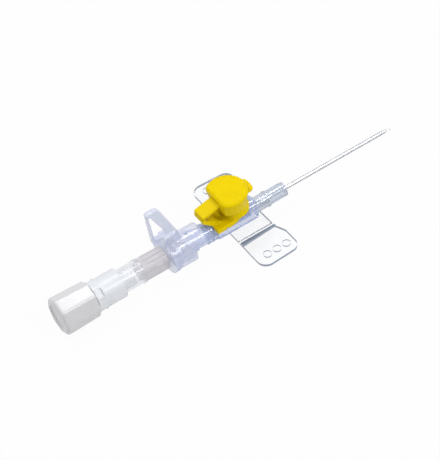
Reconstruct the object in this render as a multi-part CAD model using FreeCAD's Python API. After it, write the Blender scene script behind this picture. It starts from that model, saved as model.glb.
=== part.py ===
import FreeCAD, Part
import math
import os

# Intravenous cannula with injection port, folding wings and push-off needle guard.
# Frame in millimetres: the origin is where the soft tube leaves the hub nose, +X runs
# along the needle towards its tip, +Z points up through the port, +Y is the left wing.

V = FreeCAD.Vector

# Soft tube and needle
tube_outer_d = 1.0
tube_bore_d = 0.80
tube_free_length = 31.2
tube_taper_length = 1.5
tube_tip_d = 0.88
tube_seat_depth = 5.0
needle_outer_d = 0.72
needle_bore_d = 0.46
needle_reach = 1.9
bevel_length = 1.9
seat_fit = 0.01

# Ferrule ring that holds the tube end in the hub
ferrule_length = 2.2
ferrule_bore_r = 0.41

# Hub nose and barrel
nose_r = 1.89
nose_length = 5.1
nose_ring_r = 2.15
nose_ring_width = 0.55
nose_flute_count = 6
nose_flute_depth = 0.28
nose_flute_length = 3.3
nose_flute_width = 0.9
nose_flute_start = 0.9
neck_length = 3.3
neck_r = 1.98
barrel_r = 2.95
barrel_front_x = -9.6
barrel_rear_x = -20.0
barrel_step = 0.6
socket_outer_r = 2.55
hub_rear_x = -27.8
socket_mouth_d = 4.27
socket_taper = 0.06
socket_depth = 7.5
flow_r = 1.15
mouth_collar_r = 2.85
mouth_collar_width = 0.7
lug_r = 3.3
lug_width = 2.4
lug_thickness = 1.1
rib_r = 2.8
rib_width = 0.55
rib_pitch = 1.25
rib_count = 3
rib_first_x = -21.1
rib_gap_half = 0.75

# Valve sleeve in its chamber
valve_outer_r = 1.75
valve_wall = 0.45
valve_length = 7.6
port_hole_r = 0.8

# Port
port_x = -14.8
port_outer_r = 2.85
port_bore_r = 2.10
port_floor_z = 3.0
port_top_z = 7.1
saddle_half_width = 3.4
saddle_bottom_z = -0.6
saddle_top_z = 2.3
saddle_front_x = -8.75
saddle_rear_x = -21.6
saddle_bow_length = 1.5

# Yellow base ring, collar and lower strap
ring_half_width = 3.95
ring_fit = 0.05
ring_bottom_z = 1.95
ring_top_z = 3.4
ring_front_x = -10.5
ring_rear_x = -22.0
ring_bow_length = 10.0
collar_base_r = 3.95
collar_top_r = 3.35
collar_top_z = 5.9
ring_notch = 0.5
ring_notch_back = 4.6
strand_root_front = 2.6
strand_root_rear = 1.8

# Yellow cap, its plug, thumb tab and upper strap
cap_gap = 0.35
cap_top_z = 10.8
cap_rim_z = 10.2
cap_r = 5.35
cap_offset = 1.35
cap_rear_flat = 5.0
cap_corner_r = 1.5
cap_draft = 0.78
cap_crown_step = 0.5
cap_plug_r = 1.8
cap_plug_depth = 1.4
cap_cavity_r = 3.15
cap_cavity_depth = 1.05
thumb_half_width = 2.25
thumb_tip_x = -9.5
thumb_top_z = 8.9
thumb_thickness = 0.85
thumb_corner_r = 1.3
strap_half_width = 2.0
strap_thickness = 0.75
strap_rear_x = -24.7
strap_fold_z = 7.05
strap_head_z = 9.1
strap_root = 0.6
hinge_gap = 0.06

# Wings
wing_bottom_z = -3.1
wing_thickness = 0.75
wing_front_x = -7.6
wing_front_flare = 1.3
wing_flare_run = 2.9
wing_rear_x = -17.6
wing_span_half = 16.3
stub_edge_y = 5.4
film_width = 1.15
film_thickness = 0.25
film_gap = 0.08
wing_corner_r = 2.6
wing_tip_slant = 0.5
wing_front_corner_r = 2.3
bump_d = 2.1
bump_height = 0.35
bump_pitch = 2.8
bump_rear_x = -14.4
bump_y = 13.3
bump_count = 3
ridge_height = 0.5
ridge_width_rear = 1.15
ridge_width_front = 0.5

# Needle guard
hood_outer_r = 4.05
hood_wall = 0.55
hood_front_x = -25.1
hood_edge_z = 1.0
flange_half_width = 5.45
flange_half_height = 4.6
flange_centre_z = 0.5
flange_thickness = 1.0
flange_top_thickness = 3.4
flange_rear_x = -35.4
flange_top_z = 7.9
flange_post_half = 1.55
flange_post_round = 0.5
peg_r = 0.45
peg_x = -29.0
peg_height = 0.7
guard_half_width = 3.35
guard_bottom_z = -3.4
guard_top_z = 1.7
guard_front_x = -28.0
guard_wall = 0.6
guard_corner_r = 0.35
guard_pass_r = 1.0
guard_back_wall = 0.4
tab_half_thickness = 0.7
tab_top_z = 18.6
tab_behind = 2.7
tab_foot_z = 6.9
tab_root_z = 4.6
tab_rear_lean = 0.8
tab_front_x = -31.1
tab_front_z = 7.0
tab_front_toe = 0.9
tab_top_width = 3.2
tab_round = 1.0
tab_window_floor = 0.05
tab_window_top_z = 16.3
tab_window_tip = 0.3
tab_rear_rim = 0.6
tab_front_rim = 2.85
tab_window_round = 0.14

# Spring clip in the guard
clip_thickness = 0.2
clip_half_width = 1.5
clip_half_height = 1.9
clip_back_offset = 2.6
clip_clear = 0.2
clip_side_spread = 0.6
clip_hold_gap = 0.04
clip_arm_length = 3.6
clip_hole_r = 0.45

# Needle hub
grip_front_gap = 0.1
grip_groove_start = 1.2
grip_spigot_wall = 0.8
grip_length = 6.9
grip_r = 3.07
grip_flat_top = 2.62
grip_flat_side = 2.72
grip_spigot_r = 1.6
grip_spigot_length = 1.4
grip_spigot_fit = 0.15
grip_groove_width = 0.35
grip_groove_depth = 0.25
grip_groove_y = 1.55
needle_seat_length = 3.2

# Flash chamber and plug
chamber_outer_r = 3.07
chamber_wall = 0.65
chamber_lip_r = 3.32
chamber_lip_width = 0.8
chamber_length = 6.1
chamber_seat = 0.8
plug_spigot_length = 3.5
plug_body_r = 3.9
plug_body_length = 5.4
plug_collar_r = 4.06
plug_collar_length = 2.3
plug_collar_slots = 4
plug_slot_width = 2.3
plug_slot_depth = 0.9
plug_slot_rear = 0.35
plug_slot_front = 0.3
plug_bore_r = 1.25
plug_socket_r = 2.9
plug_socket_length = 6.6
plug_lug_r = 3.85
plug_lug_width = 3.0
plug_lug_thickness = 1.0
filter_r = 1.9
filter_thickness = 1.6
filter_lead = 2.2

# White cap
luer_cap_rear_r = 5.10
luer_cap_front_r = 4.80
luer_cap_length = 9.6
luer_cap_sides = 8
luer_cap_turn = -7.0
luer_cap_corner_r = 0.8
luer_cap_bore_r = 4.10
luer_cap_floor = 1.9
luer_cap_gap = 0.15
luer_cap_chamfer = 0.45
luer_cap_dish_r = 3.3
luer_cap_dish_depth = 0.35
cone_fit = 0.04
cone_short = 2.2
cone_channel_r = 0.8

# Places that follow from the sizes above
needle_tip_x = tube_free_length + needle_reach
nose_rear_x = -nose_length
neck_rear_x = -nose_length - nose_ring_width - neck_length
wing_top_z = wing_bottom_z + wing_thickness
film_edge_y = stub_edge_y + film_width
fold_y = stub_edge_y + film_width / 2
flange_front_x = flange_rear_x + flange_thickness
clip_back_x = flange_rear_x + clip_back_offset
grip_front_x = flange_rear_x - grip_front_gap
grip_rear_x = grip_front_x - grip_length
chamber_rear_x = grip_rear_x - chamber_length
chamber_bore_r = chamber_outer_r - chamber_wall
plug_front_x = chamber_rear_x + plug_spigot_length
plug_body_rear_x = chamber_rear_x - plug_body_length
collar_rear_x = plug_body_rear_x - plug_collar_length
socket_mouth_x = collar_rear_x - plug_socket_length
luer_cap_front_x = collar_rear_x - luer_cap_gap
luer_cap_rear_x = luer_cap_front_x - luer_cap_length
cap_bottom_z = collar_top_z + cap_gap


def rod(x0, x1, r0, r1=None):
    """Cylinder or cone along X between two stations."""
    if x1 < x0:
        x0, x1 = x1, x0
        r0, r1 = (r0 if r1 is None else r1), r0
    if r1 is None or abs(r1 - r0) < 1e-9:
        return Part.makeCylinder(r0, x1 - x0, V(x0, 0, 0), V(1, 0, 0))
    return Part.makeCone(r0, r1, x1 - x0, V(x0, 0, 0), V(1, 0, 0))


def post(x, y, z0, z1, r0, r1=None):
    """Cylinder or cone along Z."""
    if r1 is None or abs(r1 - r0) < 1e-9:
        return Part.makeCylinder(r0, z1 - z0, V(x, y, z0), V(0, 0, 1))
    return Part.makeCone(r0, r1, z1 - z0, V(x, y, z0), V(0, 0, 1))


def block(x0, x1, y0, y1, z0, z1):
    """Box between two corners."""
    return Part.makeBox(x1 - x0, y1 - y0, z1 - z0, V(x0, y0, z0))


def turned(points):
    """Solid of revolution about the X axis from (x, radius) points."""
    corners = [V(x, 0, r) for x, r in points]
    wire = Part.makePolygon(corners + corners[:1])
    return Part.Face(wire).revolve(V(0, 0, 0), V(1, 0, 0), 360)


def plate(points, z0, z1):
    """Prism between two heights from (x, y) points."""
    corners = [V(x, y, z0) for x, y in points]
    wire = Part.makePolygon(corners + corners[:1])
    return Part.Face(wire).extrude(V(0, 0, z1 - z0))


def side_plate(points, half_width):
    """Prism across Y, centred on the axis, from (x, z) points."""
    corners = [V(x, -half_width, z) for x, z in points]
    wire = Part.makePolygon(corners + corners[:1])
    return Part.Face(wire).extrude(V(0, 2 * half_width, 0))


def edges_along(shape, direction, test=None):
    """Straight edges of a shape that run along a direction and pass a test."""
    found = []
    for edge in shape.Edges:
        if len(edge.Vertexes) != 2 or not isinstance(edge.Curve, (Part.Line, Part.LineSegment)):
            continue
        run = (edge.Vertexes[1].Point - edge.Vertexes[0].Point).normalize()
        if abs(abs(run.dot(direction)) - 1) > 1e-6:
            continue
        if test is None or test(edge.CenterOfMass):
            found.append(edge)
    return found


def save(shape, name):
    """Write one piece as its own file."""
    shape = shape.removeSplitter()
    if shape.ShapeType == "Compound" and len(shape.Solids) == 1:
        shape = shape.Solids[0]
    shape.exportStep("parts/" + name + ".step")


def catheter_tube():
    body = rod(-tube_seat_depth, tube_free_length - tube_taper_length, tube_outer_d / 2)
    tip = rod(tube_free_length - tube_taper_length, tube_free_length, tube_outer_d / 2, tube_tip_d / 2)
    return body.fuse(tip).cut(rod(-tube_seat_depth - 1, tube_free_length + 1, tube_bore_d / 2))


def catheter_ferrule():
    """Metal ring pressed into the hub behind the tube end."""
    rear_x = -tube_seat_depth - ferrule_length
    ring = rod(rear_x, -tube_seat_depth, flow_r - seat_fit)
    return ring.cut(rod(rear_x - 1, -tube_seat_depth + 1, ferrule_bore_r))


def leaf_prism(half, front_x, rear_x, bow, z0, z1):
    """Prism with straight sides and a bow at the front: half an ellipse, or an arc when it is flat."""
    shoulder_x = front_x - bow
    low = V(shoulder_x, -half, z0)
    high = V(shoulder_x, half, z0)
    if bow > half:
        curve = Part.Ellipse(V(shoulder_x, 0, z0), bow, half)
        front = curve.toShape(-math.pi / 2, math.pi / 2)
    else:
        front = Part.Arc(low, V(front_x, 0, z0), high).toShape()
    tail = Part.makePolygon([high, V(rear_x, half, z0), V(rear_x, -half, z0), low])
    wire = Part.Wire(Part.__sortEdges__([front] + tail.Edges))
    return Part.Face(wire).extrude(V(0, 0, z1 - z0))


def saddle_prism(grow, z0, z1):
    """Port saddle, widened all round by grow."""
    return leaf_prism(saddle_half_width + grow, saddle_front_x + grow, saddle_rear_x - grow,
                      saddle_bow_length, z0, z1)


def cannula_hub():
    body = turned([
        (hub_rear_x, 0),
        (hub_rear_x, mouth_collar_r),
        (hub_rear_x + mouth_collar_width, mouth_collar_r),
        (hub_rear_x + mouth_collar_width, socket_outer_r),
        (barrel_rear_x, socket_outer_r),
        (barrel_rear_x + barrel_step, barrel_r),
        (barrel_front_x, barrel_r),
        (neck_rear_x, neck_r),
        (-nose_length - nose_ring_width, neck_r),
        (-nose_length - nose_ring_width, nose_ring_r),
        (nose_rear_x, nose_ring_r),
        (nose_rear_x, nose_r),
        (0, nose_r),
        (0, 0),
    ])
    body = body.fuse(saddle_prism(0, saddle_bottom_z, saddle_top_z))
    body = body.fuse(post(port_x, 0, 0, port_top_z, port_outer_r))

    # Lock lugs above and below the socket mouth
    for side in (-1, 1):
        lug = rod(hub_rear_x, hub_rear_x + lug_thickness, lug_r)
        keep = block(hub_rear_x - 1, 0, -lug_width / 2, lug_width / 2, 0, lug_r + 1)
        if side < 0:
            keep.rotate(V(0, 0, 0), V(1, 0, 0), 180)
        body = body.fuse(lug.common(keep))

    # Ribs round the socket, open at the sides
    for number in range(rib_count):
        x = rib_first_x - number * rib_pitch
        rib = rod(x - rib_width, x, rib_r)
        gap = block(x - 2 * rib_width, x + rib_width, -2 * rib_r, 2 * rib_r,
                    -rib_gap_half, rib_gap_half)
        body = body.fuse(rib.cut(gap))

    # Inner wing panels with the thin film that carries the outer panels
    for side in (-1, 1):
        stub = plate([
            (wing_rear_x, 0),
            (wing_rear_x, side * stub_edge_y),
            (wing_front_x, side * stub_edge_y),
            (wing_front_x - 0.1, 0),
        ], wing_bottom_z, wing_top_z)
        film = plate([
            (wing_rear_x, side * (stub_edge_y - 0.1)),
            (wing_rear_x, side * (fold_y - film_gap / 2)),
            (wing_front_x, side * (fold_y - film_gap / 2)),
            (wing_front_x, side * (stub_edge_y - 0.1)),
        ], wing_bottom_z, wing_bottom_z + film_thickness)
        body = body.fuse(stub).fuse(film)

    # Flutes in the nose
    for number in range(nose_flute_count):
        cutter = block(nose_rear_x + nose_flute_start, nose_rear_x + nose_flute_start + nose_flute_length,
                       -nose_flute_width / 2, nose_flute_width / 2,
                       nose_r - nose_flute_depth, nose_r + 1)
        cutter.rotate(V(0, 0, 0), V(1, 0, 0), 360 / nose_flute_count * (number + 0.5))
        body = body.cut(cutter)

    # Socket, flow channel, valve chamber, tube seat and port bore
    socket_floor_x = hub_rear_x + socket_depth
    socket_floor_r = socket_mouth_d / 2 - socket_taper * socket_depth / 2
    valve_front_x = port_x + valve_length / 2
    body = body.cut(rod(hub_rear_x, socket_floor_x, socket_mouth_d / 2, socket_floor_r))
    body = body.cut(rod(socket_floor_x - 0.1, valve_front_x, valve_outer_r))
    body = body.cut(rod(valve_front_x - 0.1, -tube_seat_depth, flow_r))
    body = body.cut(rod(-tube_seat_depth - 0.1, 1, tube_outer_d / 2 + seat_fit))
    body = body.cut(post(port_x, 0, 0, port_floor_z + 0.1, port_hole_r))
    body = body.cut(post(port_x, 0, port_floor_z, port_top_z + 1, port_bore_r))
    return body


def port_valve():
    x0 = port_x - valve_length / 2 + 0.1
    x1 = port_x + valve_length / 2 - 0.1
    return rod(x0, x1, valve_outer_r - seat_fit).cut(rod(x0 - 1, x1 + 1, valve_outer_r - valve_wall))


def port_cap_ring():
    skirt = leaf_prism(ring_half_width, ring_front_x, ring_rear_x, ring_bow_length,
                       ring_bottom_z, ring_top_z)
    collar = post(port_x, 0, ring_top_z - 0.1, collar_top_z, collar_base_r, collar_top_r)
    body = skirt.fuse(collar)
    rear = ring_rear_x
    strand = side_plate([
        (rear + strand_root_rear, ring_top_z - 0.2),
        (rear, ring_top_z - 0.2),
        (strap_rear_x - 0.1, strap_fold_z - strap_thickness * 1.6),
        (strap_rear_x, strap_fold_z - hinge_gap),
        (strap_rear_x + strap_thickness, strap_fold_z - hinge_gap),
        (strap_rear_x + strap_thickness * 1.5, strap_fold_z - strap_thickness * 1.3),
        (rear + strand_root_front, ring_top_z),
    ], strap_half_width)
    body = body.fuse(strand)
    body = body.cut(saddle_prism(ring_fit, ring_bottom_z - 1, saddle_top_z + seat_fit))
    body = body.cut(post(port_x, 0, 0, collar_top_z + 1, port_outer_r + ring_fit))
    body = body.cut(rod(ring_rear_x - 1, ring_front_x + 1, barrel_r + ring_fit))
    notch_x = port_x - ring_notch_back
    notch = block(notch_x, notch_x + ring_notch, -10, 10, ring_bottom_z - 1, ring_bottom_z + ring_notch)
    return body.cut(notch)


def cap_prism():
    """Upright prism of the port cap's outline: round, with a flat rear between two round corners."""
    centre_x = port_x - cap_offset
    flat_x = port_x - cap_rear_flat
    half = math.sqrt(cap_r ** 2 - (flat_x - centre_x) ** 2)
    round_part = post(centre_x, 0, cap_bottom_z, cap_top_z, cap_r + seat_fit)
    keep = block(flat_x, port_x + 2 * cap_r, -2 * cap_r, 2 * cap_r, cap_bottom_z, cap_top_z)
    prism = round_part.common(keep)
    corners = edges_along(prism, V(0, 0, 1), lambda p: p.x < flat_x + seat_fit and abs(p.y) > half / 2)
    return prism.makeFillet(cap_corner_r, corners)


def port_cap():
    centre_x = port_x - cap_offset
    height = cap_rim_z - cap_bottom_z
    foot_r = cap_r - cap_draft
    crown_r = cap_r - cap_crown_step
    head = post(centre_x, 0, cap_bottom_z, cap_rim_z, foot_r, cap_r)
    head = head.fuse(post(centre_x, 0, cap_rim_z, cap_top_z, cap_r, crown_r))
    flat_x = port_x - cap_rear_flat
    side = side_plate([
        (flat_x + cap_draft * height / (height + cap_draft), cap_bottom_z),
        (flat_x, cap_rim_z),
        (flat_x + cap_crown_step, cap_top_z),
        (port_x + 2 * cap_r, cap_top_z),
        (port_x + 2 * cap_r, cap_bottom_z),
    ], 2 * cap_r)
    body = head.common(side).common(cap_prism())

    # Thumb tab at the front
    tab = block(port_x, thumb_tip_x, -thumb_half_width, thumb_half_width,
                thumb_top_z - thumb_thickness, thumb_top_z)
    tab = tab.makeFillet(thumb_corner_r, edges_along(tab, V(0, 0, 1), lambda p: p.x > port_x + 1))
    body = body.fuse(tab)

    # Upper strap from the rear of the head to the fold
    head_x = port_x - cap_rear_flat + strap_root
    strap = side_plate([
        (head_x, strap_head_z),
        (strap_rear_x, strap_fold_z + strap_thickness),
        (strap_rear_x, strap_fold_z + hinge_gap),
        (strap_rear_x + 0.8, strap_fold_z + hinge_gap),
        (head_x, strap_head_z - strap_thickness),
    ], strap_half_width)
    body = body.fuse(strap)

    body = body.cut(post(port_x, 0, cap_bottom_z - 1, cap_bottom_z + cap_cavity_depth, cap_cavity_r))
    plug_tip_z = port_top_z - cap_plug_depth
    plug = post(port_x, 0, plug_tip_z, cap_bottom_z + cap_cavity_depth + 0.1, cap_plug_r)
    return body.fuse(plug)


def wing(side):
    """Outer wing panel; side is +1 on the left and -1 on the right."""
    front_x = wing_front_x + wing_front_flare
    panel = plate([
        (wing_rear_x, side * film_edge_y),
        (wing_rear_x, side * wing_span_half),
        (front_x, side * (wing_span_half - wing_tip_slant)),
        (front_x, side * (film_edge_y + wing_flare_run)),
        (wing_front_x, side * film_edge_y),
    ], wing_bottom_z, wing_top_z)
    rear = edges_along(panel, V(0, 0, 1),
                       lambda p: abs(p.y) > wing_span_half - 1 and p.x < wing_rear_x + 1)
    panel = panel.makeFillet(wing_corner_r, rear)
    front = edges_along(panel, V(0, 0, 1),
                        lambda p: abs(p.y) > wing_span_half - 1 and p.x > front_x - 1)
    panel = panel.makeFillet(wing_front_corner_r, front)
    film = plate([
        (wing_rear_x, side * (fold_y + film_gap / 2)),
        (wing_rear_x, side * (film_edge_y + 0.1)),
        (wing_front_x, side * (film_edge_y + 0.1)),
        (wing_front_x, side * (fold_y + film_gap / 2)),
    ], wing_bottom_z, wing_bottom_z + film_thickness)
    ridge = plate([
        (wing_rear_x, side * film_edge_y),
        (wing_rear_x, side * (film_edge_y + ridge_width_rear)),
        (wing_front_x, side * (film_edge_y + ridge_width_front)),
        (wing_front_x, side * film_edge_y),
    ], wing_top_z - 0.1, wing_top_z + ridge_height)
    body = panel.fuse(film).fuse(ridge)
    for number in range(bump_count):
        body = body.fuse(bump(bump_rear_x + number * bump_pitch, side * bump_y))
    return body


def bump(x, y):
    """Low round grip stud on a wing."""
    return post(x, y, wing_top_z, wing_top_z + bump_height, bump_d / 2)


def finger_tab():
    """Triangular push-off tab with its window, standing on the flange."""
    foot_rear = flange_rear_x - tab_behind
    top_rear = foot_rear - tab_rear_lean
    root_z = hood_outer_r - hood_wall / 2
    outer = side_plate([
        (flange_front_x, root_z),
        (flange_rear_x, tab_root_z),
        (foot_rear, tab_foot_z),
        (top_rear, tab_top_z),
        (top_rear + tab_top_width, tab_top_z),
        (tab_front_x, tab_front_z),
        (tab_front_x + tab_front_toe, root_z),
    ], tab_half_thickness)
    outer = outer.makeFillet(tab_round, edges_along(outer, V(0, 1, 0), lambda p: p.z > tab_top_z - 0.5))
    floor_z = flange_top_z + tab_window_floor
    share = (tab_window_top_z - tab_foot_z) / (tab_top_z - tab_foot_z)
    window_top_x = foot_rear - tab_rear_lean * share + tab_rear_rim
    window = side_plate([
        (foot_rear + tab_rear_rim, floor_z),
        (window_top_x, tab_window_top_z),
        (window_top_x + tab_window_tip, tab_window_top_z),
        (tab_front_x - tab_front_rim, floor_z),
    ], tab_half_thickness + 1)
    window = window.makeFillet(tab_window_round, edges_along(window, V(0, 1, 0)))
    return outer.cut(window)


def oval_rod(x0, x1):
    """Oval of the guard's flange, run along X between two stations."""
    oval = Part.Ellipse(V(0, 0, 0), flange_half_width, flange_half_height)
    face = Part.Face(Part.Wire(oval.toShape()))
    face.rotate(V(0, 0, 0), V(0, 0, 1), 90)
    face.rotate(V(0, 0, 0), V(0, 1, 0), 90)
    face.translate(V(x0, 0, flange_centre_z))
    return face.extrude(V(x1 - x0, 0, 0))


def safety_housing():
    # Hood over the socket
    hood = rod(flange_front_x - 0.1, hood_front_x, hood_outer_r)
    hood = hood.common(block(flange_rear_x, hood_front_x, -10, 10, hood_edge_z, 10))

    # Box that holds the clip
    box = block(flange_front_x - 0.1, guard_front_x, -guard_half_width, guard_half_width,
                guard_bottom_z, guard_top_z)
    box = box.makeFillet(guard_corner_r, edges_along(box, V(1, 0, 0), lambda p: p.z < 0))
    body = hood.fuse(box)

    # Hollow of the hood and of the box
    inner_r = hood_outer_r - hood_wall
    hollow = rod(guard_front_x, hood_front_x + 1, inner_r)
    cavity = block(flange_front_x + guard_back_wall, guard_front_x + 0.1,
                   -guard_half_width + guard_wall, guard_half_width - guard_wall,
                   guard_bottom_z + guard_wall, guard_top_z - 0.1)
    vault = rod(flange_front_x + guard_back_wall, guard_front_x + 0.1, inner_r)
    vault = vault.common(block(flange_rear_x, guard_front_x + 1, -guard_half_width + guard_wall,
                               guard_half_width - guard_wall, 0, inner_r))
    body = body.cut(hollow).cut(cavity).cut(vault)

    # Oval flange, thin below and thick above, and the post that carries the tab
    top_z = flange_centre_z + flange_half_height
    low_z = flange_centre_z - flange_half_height
    flange = oval_rod(flange_rear_x, flange_rear_x + flange_top_thickness)
    flange = flange.common(side_plate([
        (flange_rear_x, low_z),
        (flange_front_x, low_z),
        (flange_front_x, guard_bottom_z + 1.0),
        (flange_rear_x + flange_top_thickness, top_z),
        (flange_rear_x, top_z),
    ], flange_half_width + 1))
    tower = block(flange_rear_x, flange_rear_x + flange_top_thickness,
                  -flange_post_half, flange_post_half, clip_half_height + clip_clear, flange_top_z)
    tower = tower.makeFillet(flange_post_round, edges_along(tower, V(1, 0, 0), lambda p: p.z > flange_top_z - 1))
    peg = post(peg_x, 0, hood_outer_r - hood_wall / 2, hood_outer_r + peg_height, peg_r)
    body = body.fuse(flange).fuse(tower).fuse(finger_tab()).fuse(peg)

    # Way through for the needle, and the seat of the needle hub's nose
    body = body.cut(rod(flange_rear_x - 2, guard_front_x, guard_pass_r))
    seat = rod(flange_rear_x - 1, flange_rear_x + grip_spigot_length + 0.15,
               grip_spigot_r + grip_spigot_fit)
    return body.cut(seat)


def safety_clip():
    """Bent spring strip: a back with a hole for the needle and two arms beside it."""
    outer_y = clip_half_width + clip_side_spread
    body = block(clip_back_x, clip_back_x + clip_thickness, -outer_y, outer_y,
                 -clip_half_height, clip_half_height)
    hold = needle_outer_d / 2 + clip_hold_gap
    front_x = clip_back_x + clip_arm_length
    for side in (-1, 1):
        arm = Part.Face(Part.makePolygon([
            V(clip_back_x, side * (outer_y - clip_thickness), -clip_half_height * 0.6),
            V(clip_back_x, side * outer_y, -clip_half_height * 0.6),
            V(front_x, side * (hold + clip_thickness + 0.15), -clip_half_height * 0.6),
            V(front_x + 0.3, side * (hold + 0.6), -clip_half_height * 0.6),
            V(front_x + 0.5, side * (hold + 0.45), -clip_half_height * 0.6),
            V(front_x, side * hold, -clip_half_height * 0.6),
            V(clip_back_x, side * (outer_y - clip_thickness), -clip_half_height * 0.6),
        ])).extrude(V(0, 0, clip_half_height * 1.2))
        body = body.fuse(arm)
    return body.cut(rod(clip_back_x - 1, clip_back_x + clip_thickness + 0.1, clip_hole_r))


def needle():
    rear_x = grip_front_x - needle_seat_length
    body = rod(rear_x, needle_tip_x, needle_outer_d / 2)
    body = body.cut(rod(rear_x - 1, needle_tip_x + 1, needle_bore_d / 2))
    r = needle_outer_d / 2
    bevel = side_plate([
        (needle_tip_x + 0.01, -r),
        (needle_tip_x - bevel_length, r),
        (needle_tip_x - bevel_length, r + 1),
        (needle_tip_x + 1, r + 1),
        (needle_tip_x + 1, -r),
    ], 2)
    return body.cut(bevel)


def needle_hub():
    grip = rod(grip_rear_x, grip_front_x, grip_r)
    grip = grip.common(block(grip_rear_x - 1, grip_front_x + 1, -grip_flat_side, grip_flat_side,
                             -grip_r, grip_flat_top))
    front = [e for e in grip.Edges if e.BoundBox.XLength < 0.01
             and abs(e.BoundBox.XMin - grip_front_x) < 0.01]
    grip = grip.makeChamfer(0.25, front)
    for y in (-grip_groove_y, 0, grip_groove_y):
        groove = block(grip_rear_x + grip_groove_start, grip_front_x + 1, y - grip_groove_width / 2,
                       y + grip_groove_width / 2, grip_flat_top - grip_groove_depth, grip_r + 1)
        grip = grip.cut(groove)
    body = grip.fuse(rod(grip_front_x - 0.1, flange_rear_x + grip_spigot_length, grip_spigot_r))
    body = body.fuse(rod(grip_rear_x - chamber_seat, grip_rear_x + 0.1, chamber_bore_r - seat_fit))
    body = body.cut(rod(grip_front_x - needle_seat_length - 0.1, grip_front_x + 5,
                        needle_outer_d / 2 + seat_fit))
    return body.cut(rod(grip_rear_x - chamber_seat - 1, grip_front_x - needle_seat_length,
                        chamber_bore_r - grip_spigot_wall))


def flash_chamber():
    body = rod(chamber_rear_x, grip_rear_x, chamber_outer_r)
    body = body.fuse(rod(grip_rear_x - chamber_lip_width, grip_rear_x, chamber_lip_r))
    return body.cut(rod(chamber_rear_x - 1, grip_rear_x + 1, chamber_bore_r))


def plug_socket_radius(x):
    """Inside radius of the plug's conical socket at a station."""
    return socket_mouth_d / 2 - socket_taper / 2 * (x - socket_mouth_x)


def vent_plug():
    spigot_r = chamber_bore_r - seat_fit
    body = turned([
        (socket_mouth_x, 0),
        (socket_mouth_x, plug_socket_r),
        (collar_rear_x, plug_socket_r),
        (collar_rear_x, plug_collar_r),
        (plug_body_rear_x, plug_collar_r),
        (plug_body_rear_x, plug_body_r),
        (chamber_rear_x, plug_body_r),
        (chamber_rear_x, spigot_r),
        (plug_front_x, spigot_r),
        (plug_front_x, 0),
    ])
    for number in range(plug_collar_slots):
        slot = block(collar_rear_x + plug_slot_rear, plug_body_rear_x - plug_slot_front, -plug_slot_width / 2,
                     plug_slot_width / 2, plug_collar_r - plug_slot_depth, plug_collar_r + 1)
        slot.rotate(V(0, 0, 0), V(1, 0, 0), 360 / plug_collar_slots * (number + 0.5) + luer_cap_turn)
        body = body.cut(slot)
    for side in (0, 180):
        lug = rod(socket_mouth_x, socket_mouth_x + plug_lug_thickness, plug_lug_r)
        keep = block(socket_mouth_x - 1, socket_mouth_x + 3, -plug_lug_width / 2,
                     plug_lug_width / 2, 0, plug_lug_r + 1)
        keep.rotate(V(0, 0, 0), V(1, 0, 0), side)
        body = body.fuse(lug.common(keep))
    body = body.cut(rod(socket_mouth_x, collar_rear_x, plug_socket_radius(socket_mouth_x),
                        plug_socket_radius(collar_rear_x)))
    body = body.cut(rod(collar_rear_x - 0.1, plug_front_x + 1, plug_bore_r))
    return body.cut(rod(plug_body_rear_x, plug_body_rear_x + filter_thickness + filter_lead, filter_r + seat_fit))


def vent_filter():
    return rod(plug_body_rear_x, plug_body_rear_x + filter_thickness, filter_r)


def polygon_wire(x, radius):
    """Regular outline of the white cap at one station."""
    corners = []
    for number in range(luer_cap_sides):
        angle = math.radians(luer_cap_turn + 360 / luer_cap_sides * number)
        corners.append(V(x, radius * math.cos(angle), radius * math.sin(angle)))
    return Part.makePolygon(corners + corners[:1])


def luer_cap():
    body = Part.makeLoft([polygon_wire(luer_cap_rear_x, luer_cap_rear_r),
                          polygon_wire(luer_cap_front_x, luer_cap_front_r)], True, True)
    long_edges = [e for e in body.Edges if e.BoundBox.XLength > luer_cap_length * 0.9]
    body = body.makeFillet(luer_cap_corner_r, long_edges)
    rear = [e for e in body.Edges if e.BoundBox.XLength < 0.01
            and abs(e.BoundBox.XMin - luer_cap_rear_x) < 0.01]
    body = body.makeChamfer(luer_cap_chamfer, rear)
    floor_x = luer_cap_rear_x + luer_cap_floor
    body = body.cut(rod(floor_x, luer_cap_front_x + 1, luer_cap_bore_r))
    body = body.cut(rod(luer_cap_rear_x - 1, luer_cap_rear_x + luer_cap_dish_depth, luer_cap_dish_r))
    tip_x = collar_rear_x - cone_short
    root_r = plug_socket_radius(floor_x) - cone_fit
    cone = rod(floor_x - 0.1, tip_x, root_r, plug_socket_radius(tip_x) - cone_fit)
    channel = rod(floor_x + 1.0, tip_x + 1, cone_channel_r)
    return body.fuse(cone).cut(channel)


def main():
    os.makedirs("parts", exist_ok=True)
    save(catheter_tube(), "catheter_tube")
    save(catheter_ferrule(), "catheter_ferrule")
    save(cannula_hub(), "cannula_hub")
    save(port_valve(), "port_valve")
    save(port_cap_ring(), "port_cap_ring")
    save(port_cap(), "port_cap")
    save(wing(1), "wing_left")
    save(wing(-1), "wing_right")
    save(safety_housing(), "safety_housing")
    save(safety_clip(), "safety_clip")
    save(needle(), "needle")
    save(needle_hub(), "needle_hub")
    save(flash_chamber(), "flash_chamber")
    save(vent_plug(), "vent_plug")
    save(vent_filter(), "vent_filter")
    save(luer_cap(), "luer_cap")


main()
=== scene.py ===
import math

import bmesh
import bpy
from mathutils import Matrix, Vector


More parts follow.
